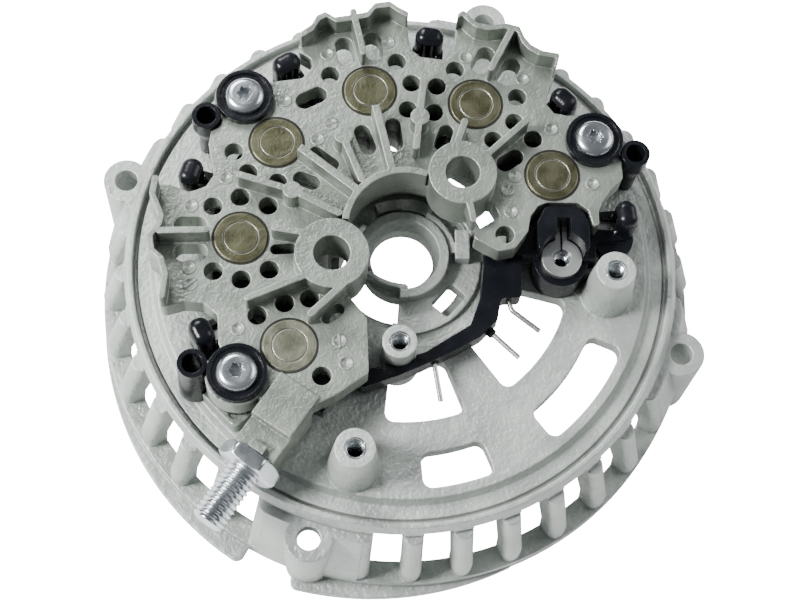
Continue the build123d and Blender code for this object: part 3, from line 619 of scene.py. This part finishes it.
@dataclass(frozen=True)
class OutputStud:
    """Output stud with a rolled thread and a chamfered hexagon collar, in millimetres along its own axis."""

    angle: float = -124.0
    offset: float = 1.0
    level: float = 37.6
    shank_start: float = 54.8
    collar_start: float = 61.3
    collar_end: float = 65.1
    tip: float = 79.4
    radius: float = 3.95
    pitch: float = 1.25
    depth: float = 0.62
    crest_power: float = 0.8
    tip_chamfer: float = 0.8
    collar_lap: float = 0.1
    across: float = 13.0
    cone_depth: float = 0.6
    cone_start: float = 0.99
    cone_slope: float = 1.7
    steps_per_pitch: int = 14
    rod_columns: int = 56
    collar_columns: int = 120
    cone_steps: int = 6
    crease: float = 50.0

    def rod(self) -> Shell:
        """Threaded rod.

        The radius at angle a and length s is radius - depth |2 f - 1|^crest_power fade, with f the fraction
        of s / pitch - a / 2 pi, and no more than the tip's cone allows. The fade rises from the collar over
        one pitch.

        Returns:
            The rod's surface.
        """
        steps = int((self.tip - self.collar_end) / self.pitch * self.steps_per_pitch)
        threaded = np.linspace(self.collar_end - self.collar_lap, self.tip, steps)
        along = np.concatenate([[self.shank_start], threaded])
        turn = np.linspace(0.0, FULL_TURN, self.rod_columns, endpoint=False)
        fraction = np.mod(along[:, None] / self.pitch - turn / FULL_TURN, 1.0)
        wave = np.abs(2.0 * fraction - 1.0) ** self.crest_power
        fade = np.clip((along[:, None] - self.collar_end) / self.pitch, 0.0, 1.0)
        cone = self.radius - self.tip_chamfer + (self.tip - along[:, None])
        radius = np.minimum(self.radius - self.depth * wave * fade, cone)
        return Shell.capped(radius * np.cos(turn), radius * np.sin(turn), along)

    def collar(self) -> Shell:
        """Hexagon collar with coned corners.

        The radius at angle a is the smaller of h / cos(a mod 60 - 30), with h half the width across flats,
        and cone_start h + cone_slope d, with d the depth below the nearer face.

        Returns:
            The collar's surface.
        """
        half = self.across / 2.0
        turn = np.radians(np.linspace(0.0, 360.0, self.collar_columns, endpoint=False))
        flat = half / np.cos(np.mod(turn, math.pi / 3.0) - math.pi / 6.0)
        inset = np.linspace(0.0, self.cone_depth, self.cone_steps)
        along = np.concatenate([self.collar_start + inset, self.collar_end - inset[::-1]])
        below = np.concatenate([inset, inset[::-1]])
        radius = np.minimum(flat, (self.cone_start * half + self.cone_slope * below)[:, None])
        return Shell.capped(radius * np.cos(turn), radius * np.sin(turn), along)

    def build(self, material: bpy.types.Material) -> None:
        """Builds the stud in place of the plain one.

        Args:
            material: Finish of zinc plated steel.
        """
        basis = lying(self.angle)
        place = self.offset * basis[0] + self.level * basis[1]
        shells = [self.rod().moved(place, basis), self.collar().moved(place, basis)]
        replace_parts(piece("output_stud_threaded", shells, material, self.crease), "output_stud")


@dataclass(frozen=True)
class TappedHole:
    """A tapped hole: its place, the level of its mouth, its radius, and its thread's pitch and depth."""

    x: float
    y: float
    top: float
    radius: float
    pitch: float
    depth: float


@dataclass(frozen=True)
class TappedHoles:
    """Inside threads and bright countersinks of the tapped holes, in millimetres and shares of a pitch."""

    holes: tuple[TappedHole, ...] = (
        TappedHole(-11.2, -51.0, 44.7, 2.1, 0.8, 9.0),
        TappedHole(48.5, -7.8, 44.7, 2.1, 0.8, 9.0),
        TappedHole(-1.2, -25.0, 42.0, 2.0, 0.8, 7.0),
        TappedHole(36.8, -2.7, 37.5, 1.7, 0.7, 2.6),
    )
    ridge: float = 0.32
    foot_depth: float = 0.05
    end_depth: float = 0.04
    foot_share: float = 0.4
    crest_share: float = 0.06
    start_share: float = 0.6
    steps_per_turn: int = 28
    # Section of a countersink, outwards from the hole's wall and upwards from its mouth
    rim: Section = (
        (-0.02, -0.45), (-0.02, -0.43), (0.03, 0.004), (0.45, 0.03), (0.47, -0.02), (0.03, -0.03),
        (0.01, -0.45),
    )
    rim_columns: int = 40

    def thread(self, hole: TappedHole) -> Shell:
        """Ridge of an inside thread, a section with a narrow crest that runs down a helix.

        At turn angle a the ridge lies at z = -pitch a / 2 pi. Its foot is foot_depth behind the wall and
        foot_share of a pitch wide each way, and its crest crest_share. The crest comes from end_depth behind
        the wall to ridge before it over the first half turn, and goes back over the last.

        Args:
            hole: The hole.

        Returns:
            The ridge's surface about the hole's own axis.
        """
        turns = hole.depth / hole.pitch
        angle = np.linspace(0.0, FULL_TURN * turns, int(turns * self.steps_per_turn))
        fade = np.clip(np.minimum(angle, angle[-1] - angle) / np.pi, 0.0, 1.0)
        crest = hole.radius + self.end_depth - (self.ridge + self.end_depth) * fade
        foot = np.full_like(crest, hole.radius + self.foot_depth)
        reach = np.stack([foot, crest, crest, foot], axis=-1)
        spread = np.array([-self.foot_share, -self.crest_share, self.crest_share, self.foot_share])
        height = (-hole.pitch * angle / FULL_TURN)[:, None] + spread * hole.pitch
        x = reach * np.cos(angle)[:, None]
        y = reach * np.sin(angle)[:, None]
        shell = Shell.grid(np.stack([x, y, height], axis=-1))
        last = 4 * (len(angle) - 1)
        ends = [[3, 2, 1, 0], [last, last + 1, last + 2, last + 3]]
        return Shell(shell.points, np.vstack([shell.faces, ends]))

    def build(self, material: bpy.types.Material) -> None:
        """Lays a thread and a bright rim into each hole.

        Args:
            material: Finish of the threads and rims.
        """
        for number, hole in enumerate(self.holes, 1):
            start = (hole.x, hole.y, hole.top - self.start_share * hole.pitch)
            piece(f"thread_{number}", [self.thread(hole).moved(start)], material)
            section = np.array(self.rim) + (hole.radius, hole.top)
            rim = Shell.turned(section, self.rim_columns, True).moved((hole.x, hole.y, 0.0))
            piece(f"countersink_{number}", [rim], material)


@dataclass(frozen=True)
class DiodeSeats:
    """Painted shade: a near-black ring that stands for the shaded gap round each positive diode, seen from
    above, in millimetres.
    """

    count: int = 6
    stand: float = 0.3
    # Section of a gap's ring, outwards from the diode's wall and upwards from the heat sink's face
    ring: Section = ((0.005, -0.02), (0.32, -0.02), (0.30, 0.03), (0.005, 0.03))
    columns: int = 64

    def build(self, material: bpy.types.Material) -> None:
        """Lays the rings on the heat sink's face, round the boxes of the diodes.

        Args:
            material: Finish of the painted shade of the gap.
        """
        shells = []
        sink_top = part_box("positive_diode_1")[1].z / MM - self.stand
        for number in range(1, self.count + 1):
            low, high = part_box(f"positive_diode_{number}")
            centre = (low + high) / 2.0 / MM
            section = np.array(self.ring) + ((high.x - low.x) / 2.0 / MM, sink_top)
            shells.append(Shell.turned(section, self.columns, True).moved((centre.x, centre.y, 0.0)))
        piece("diode_gap_shade", shells, material)


@dataclass(frozen=True)
class EjectorMarks:
    """Round and slotted witness marks that the die's pins left on the upper heat sink, in millimetres."""

    level: float = 44.5
    # Half section of a mark: a low disc with a soft edge and a shallow dish
    disc_section: Section = (
        (0.0, -0.02), (1.75, -0.02), (1.75, 0.036), (1.63, 0.09), (1.40, 0.09), (1.25, 0.045), (0.0, 0.045),
    )
    disc_columns: int = 32
    bar_length: float = 3.85
    bar_width: float = 0.5
    bar_height: float = 0.144
    bar_corner: float = 0.05
    round_marks: tuple[tuple[float, float], ...] = (
        (-28.6, 33.8), (-20.7, 24.0), (-41.6, 13.5), (-49.4, 6.3), (-18.7, 46.5), (-4.2, 50.0),
        (-49.3, -9.0), (-37.8, -23.5), (-13.4, -31.3), (14.5, 46.5), (28.0, 41.0), (34.5, 28.0),
        (43.8, 14.0), (25.5, 15.5), (24.5, 6.5),
    )
    # Place and direction in degrees of the marks with a bar across them
    slotted_marks: tuple[Triple, ...] = (
        (-17.6, 28.1, 20.0), (23.8, 12.0, 60.0), (-14.9, -26.0, 95.0), (-48.8, -13.0, 40.0),
    )

    def disc(self, x: float, y: float) -> Shell:
        """Round mark at a place of the plan."""
        return Shell.turned(np.array(self.disc_section), self.disc_columns).moved((x, y, self.level))

    def build(self, material: bpy.types.Material) -> None:
        """Lays the marks on the heat sink's face.

        Args:
            material: Finish of the heat sink.
        """
        shells = [self.disc(x, y) for x, y in self.round_marks]
        bar = rounded_bar(self.bar_length, self.bar_width, self.bar_height, self.bar_corner)
        for x, y, turn in self.slotted_marks:
            shells.append(self.disc(x, y))
            shells.append(bar.moved((x, y, self.level), upright(turn)))
        piece("ejector_marks", shells, material)


@dataclass(frozen=True)
class LeadEnds:
    """Bright ends of the stator leads that show beside each hood, in degrees and millimetres."""

    angles: tuple[float, ...] = (6.9, 43.3, 83.6, 123.1, 163.5, 208.1)
    circle: float = 50.2
    aside: float = 2.1
    level: float = 38.4
    length: float = 1.6
    width: float = 0.5
    height: float = 1.4
    corner: float = 0.15

    def build(self, material: bpy.types.Material) -> None:
        """Stands two short tabs at each hood, against its inner side.

        Args:
            material: Finish of tinned copper.
        """
        shells = []
        tab = rounded_bar(self.length, self.width, self.height, self.corner)
        for angle in self.angles:
            basis = upright(angle)
            for way in (-1.0, 1.0):
                place = np.array([self.circle, way * self.aside, self.level]) @ basis
                shells.append(tab.moved(place, basis))
        piece("lead_ends", shells, material)


@dataclass(frozen=True)
class PinCollars:
    """Moulded collars round the roots of the signal pins, in millimetres and degrees."""

    # Place of each root and the pin's direction
    roots: tuple[Triple, ...] = ((6.95, -26.3, -80.7), (20.05, -19.26, -43.2), (23.8, -9.4, -72.7))
    level: float = 33.6
    # Half section of a collar, outwards from the pin's axis and along it
    section: Section = ((0.0, -0.9), (1.15, -0.9), (1.15, 1.05), (0.90, 1.3), (0.0, 1.3))
    columns: int = 28

    def build(self, material: bpy.types.Material) -> None:
        """Sets the collars on the arm.

        Args:
            material: Finish of the black moulding.
        """
        collar = Shell.turned(np.array(self.section), self.columns)
        shells = [collar.moved((x, y, self.level), lying(turn)) for x, y, turn in self.roots]
        piece("pin_collars", shells, material)


@dataclass(frozen=True)
class Lamp:
    """Round soft light that shines at the origin: its place and width in metres and its power in watts."""

    name: str
    place: Triple
    width: float
    power: float

    def hang(self) -> None:
        """Hangs the lamp with its Z axis away from the origin and its X axis square to the world's Y."""
        lamp = bpy.data.lights.new(self.name, "AREA")
        lamp.shape = "DISK"
        lamp.size = self.width
        lamp.energy = self.power
        back = Vector(self.place).normalized()
        side = Vector((0.0, 1.0, 0.0)).cross(back).normalized()
        turn = Matrix((side, back.cross(side), back)).transposed()
        place_object(self.name, lamp).matrix_world = Matrix.LocRotScale(Vector(self.place), turn, None)


@dataclass(frozen=True)
class Studio:
    """Pale floor, soft lights and the photograph's camera, in metres and radians.

    The sensor is in millimetres, and the focal length and the picture's width are in pixels.
    """

    floor_size: float = 3.0
    paper_colour: Triple = (0.9, 0.9, 0.9)
    paper_roughness: float = 0.9
    paper_light: Triple = (1.0, 1.0, 1.0)
    paper_glow: float = 0.35
    paper_seen: float = 20.0
    room: float = 0.20
    room_colour: Triple = (0.92, 0.95, 1.0)
    lamps: tuple[Lamp, ...] = (
        Lamp("key", (-0.62, -0.10, 0.62), 0.28, 14.0),
        Lamp("top", (-0.30, 0.62, 0.62), 0.40, 6.0),
        Lamp("fill", (0.65, 0.20, 0.50), 0.60, 2.6),
    )
    focal_px: float = 1796.27
    picture_px: float = 800.0
    sensor: float = 36.0
    tilt: float = -0.3609
    lean: float = 0.0513
    aside: float = 0.308 * MM
    above: float = 8.049 * MM
    distance: float = 431.5 * MM
    ear_level: float = 25.0 * MM
    near: float = 0.01
    far: float = 10.0

    def floor(self) -> None:
        """Lays the floor, one wide face at z = 0 of paper that the camera sees pure white."""
        half = self.floor_size / 2
        mesh = bpy.data.meshes.new("floor")
        corners = [(-half, -half, 0.0), (half, -half, 0.0), (half, half, 0.0), (-half, half, 0.0)]
        mesh.from_pydata(corners, [], [(0, 1, 2, 3)])
        made = place_object("floor", mesh)
        paper = bpy.data.materials.new("white paper")
        paper.use_nodes = True
        shader = paper.node_tree.nodes["Principled BSDF"]
        shader.inputs["Base Color"].default_value = (*self.paper_colour, 1.0)
        shader.inputs["Roughness"].default_value = self.paper_roughness
        shader.inputs["Emission Color"].default_value = (*self.paper_light, 1.0)
        path = paper.node_tree.nodes.new("ShaderNodeLightPath")
        seen = math_node(paper.node_tree, "MULTIPLY", path.outputs["Is Camera Ray"], self.paper_seen)
        glow = math_node(paper.node_tree, "ADD", seen, self.paper_glow)
        paper.node_tree.links.new(glow, shader.inputs["Emission Strength"])
        mesh.materials.append(paper)

    def lights(self) -> None:
        """Hangs the lamps and sets the room's even light."""
        world = bpy.data.worlds.new("studio")
        bpy.context.scene.world = world
        world.use_nodes = True
        ground = world.node_tree.nodes["Background"]
        ground.inputs["Color"].default_value = (*self.room_colour, 1.0)
        ground.inputs["Strength"].default_value = self.room
        for lamp in self.lamps:
            lamp.hang()

    def camera(self) -> None:
        """Stands the camera at distance over the ears, looking down, tilted by tilt and aside by lean."""
        turn = (Matrix.Rotation(self.tilt, 3, "X") @ Matrix.Rotation(self.lean, 3, "Y")).transposed()
        place = turn @ Vector((-self.aside, -self.above, self.distance))
        place.z += self.ear_level
        data = bpy.data.cameras.new("camera")
        data.sensor_width = self.sensor
        data.lens = self.focal_px * self.sensor / self.picture_px
        data.clip_start = self.near
        data.clip_end = self.far
        made = place_object("camera", data)
        made.matrix_world = Matrix.LocRotScale(place, turn, None)
        bpy.context.scene.camera = made


def dress(finishes: dict[Slot, bpy.types.Material], own: dict[str, bpy.types.Material]) -> None:
    """Gives every CAD node its finish by its slot's name, or its own one.

    Args:
        finishes: A material for each slot.
        own: A material for each node that differs from its slot's.
    """
    by_name = {slot.value: material for slot, material in finishes.items()}
    for name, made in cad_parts.items():
        for index, held in enumerate(made.data.materials):
            key = held.name.split(".")[0] if held else ""
            made.data.materials[index] = own.get(name, by_name.get(key, held))
        LOG.info("node %s: %s", name, made.data.materials[0].name)


def main() -> None:
    """Builds the scene in order."""
    logging.basicConfig(level=logging.INFO, format="%(message)s")
    effects = Effects()
    general = (CAST_ALUMINIUM, BLACK_MOULDING, DIODE_PLATING, ZINC_STEEL, TINNED_WIRE)
    finishes = {finish.slot: finish.material(effects) for finish in general}
    bracket = SAND_CAST.material(effects)
    gap = GAP_SHADOW.material(effects)
    dress(finishes, {"rear_bracket": bracket, "positive_diode_6": PALE_PLATING.material(effects)})
    OutputStud().build(finishes[Slot.ZINC])
    TappedHoles().build(finishes[Slot.ZINC])
    # Near-black rings that paint the shade of the gaps round the diodes
    DiodeSeats().build(gap)
    EjectorMarks().build(finishes[Slot.CAST])
    LeadEnds().build(finishes[Slot.TINNED])
    PinCollars().build(finishes[Slot.MOULDED])
    studio = Studio()
    studio.floor()
    studio.lights()
    studio.camera()


if __name__ == "__main__":
    main()
